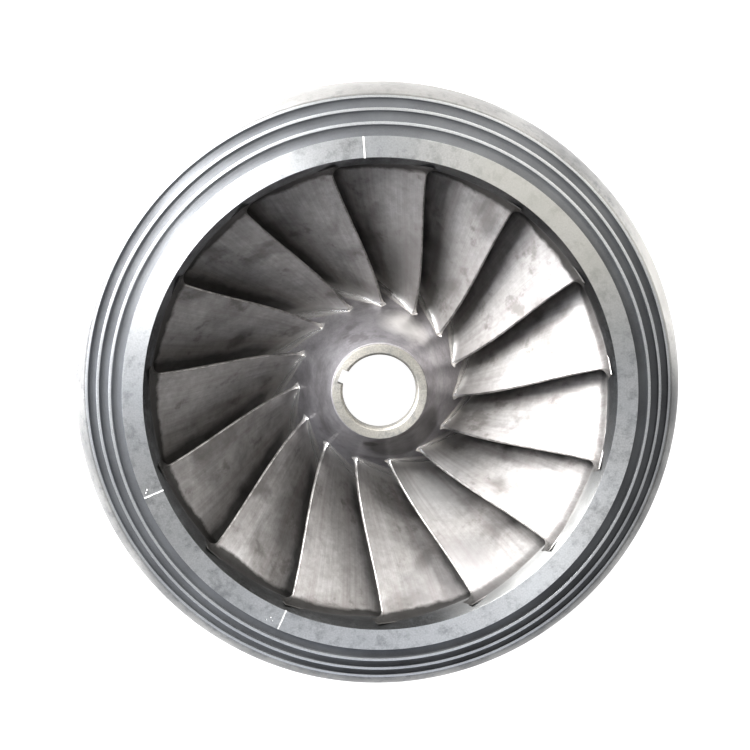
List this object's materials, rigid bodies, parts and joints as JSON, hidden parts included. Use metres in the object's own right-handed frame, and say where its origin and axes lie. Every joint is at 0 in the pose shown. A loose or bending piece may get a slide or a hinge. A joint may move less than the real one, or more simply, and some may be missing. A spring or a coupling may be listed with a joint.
{
  "type": "francis turbine runner",
  "caption": "High-head water turbine runner: curved blades between a crown disc with a hollow hub and an outer band with a stepped labyrinth seal, lying with its outlet up.",
  "frame": {"origin": "on the axis of rotation, at the back face of the hub, which the runner lies on", "axes": "+Z along the axis of rotation, out of the outlet; the first blade's outer tip lies 12.5 degrees from +Y towards -X"},
  "size_m": [0.84, 0.84, 0.33],
  "materials": {
    "ground_casting": "cast stainless steel, ground by hand and stained",
    "turned_steel": "stainless steel, turned on a lathe",
    "sleeve_steel": "fine turned steel with a pale yellow film"
  },
  "bodies": {
    "root": {"crown": "ground_casting", "crown_seal_ring": "turned_steel", "band": "turned_steel", "band_seal_ring": "turned_steel", "shaft_sleeve": "sleeve_steel", "blade_01": "ground_casting", "blade_02": "ground_casting", "blade_03": "ground_casting", "blade_04": "ground_casting", "blade_05": "ground_casting", "blade_06": "ground_casting", "blade_07": "ground_casting", "blade_08": "ground_casting", "blade_09": "ground_casting", "blade_10": "ground_casting", "blade_11": "ground_casting", "blade_12": "ground_casting", "blade_13": "ground_casting", "blade_14": "ground_casting", "blade_15": "ground_casting"}
  },
  "joints": []
}
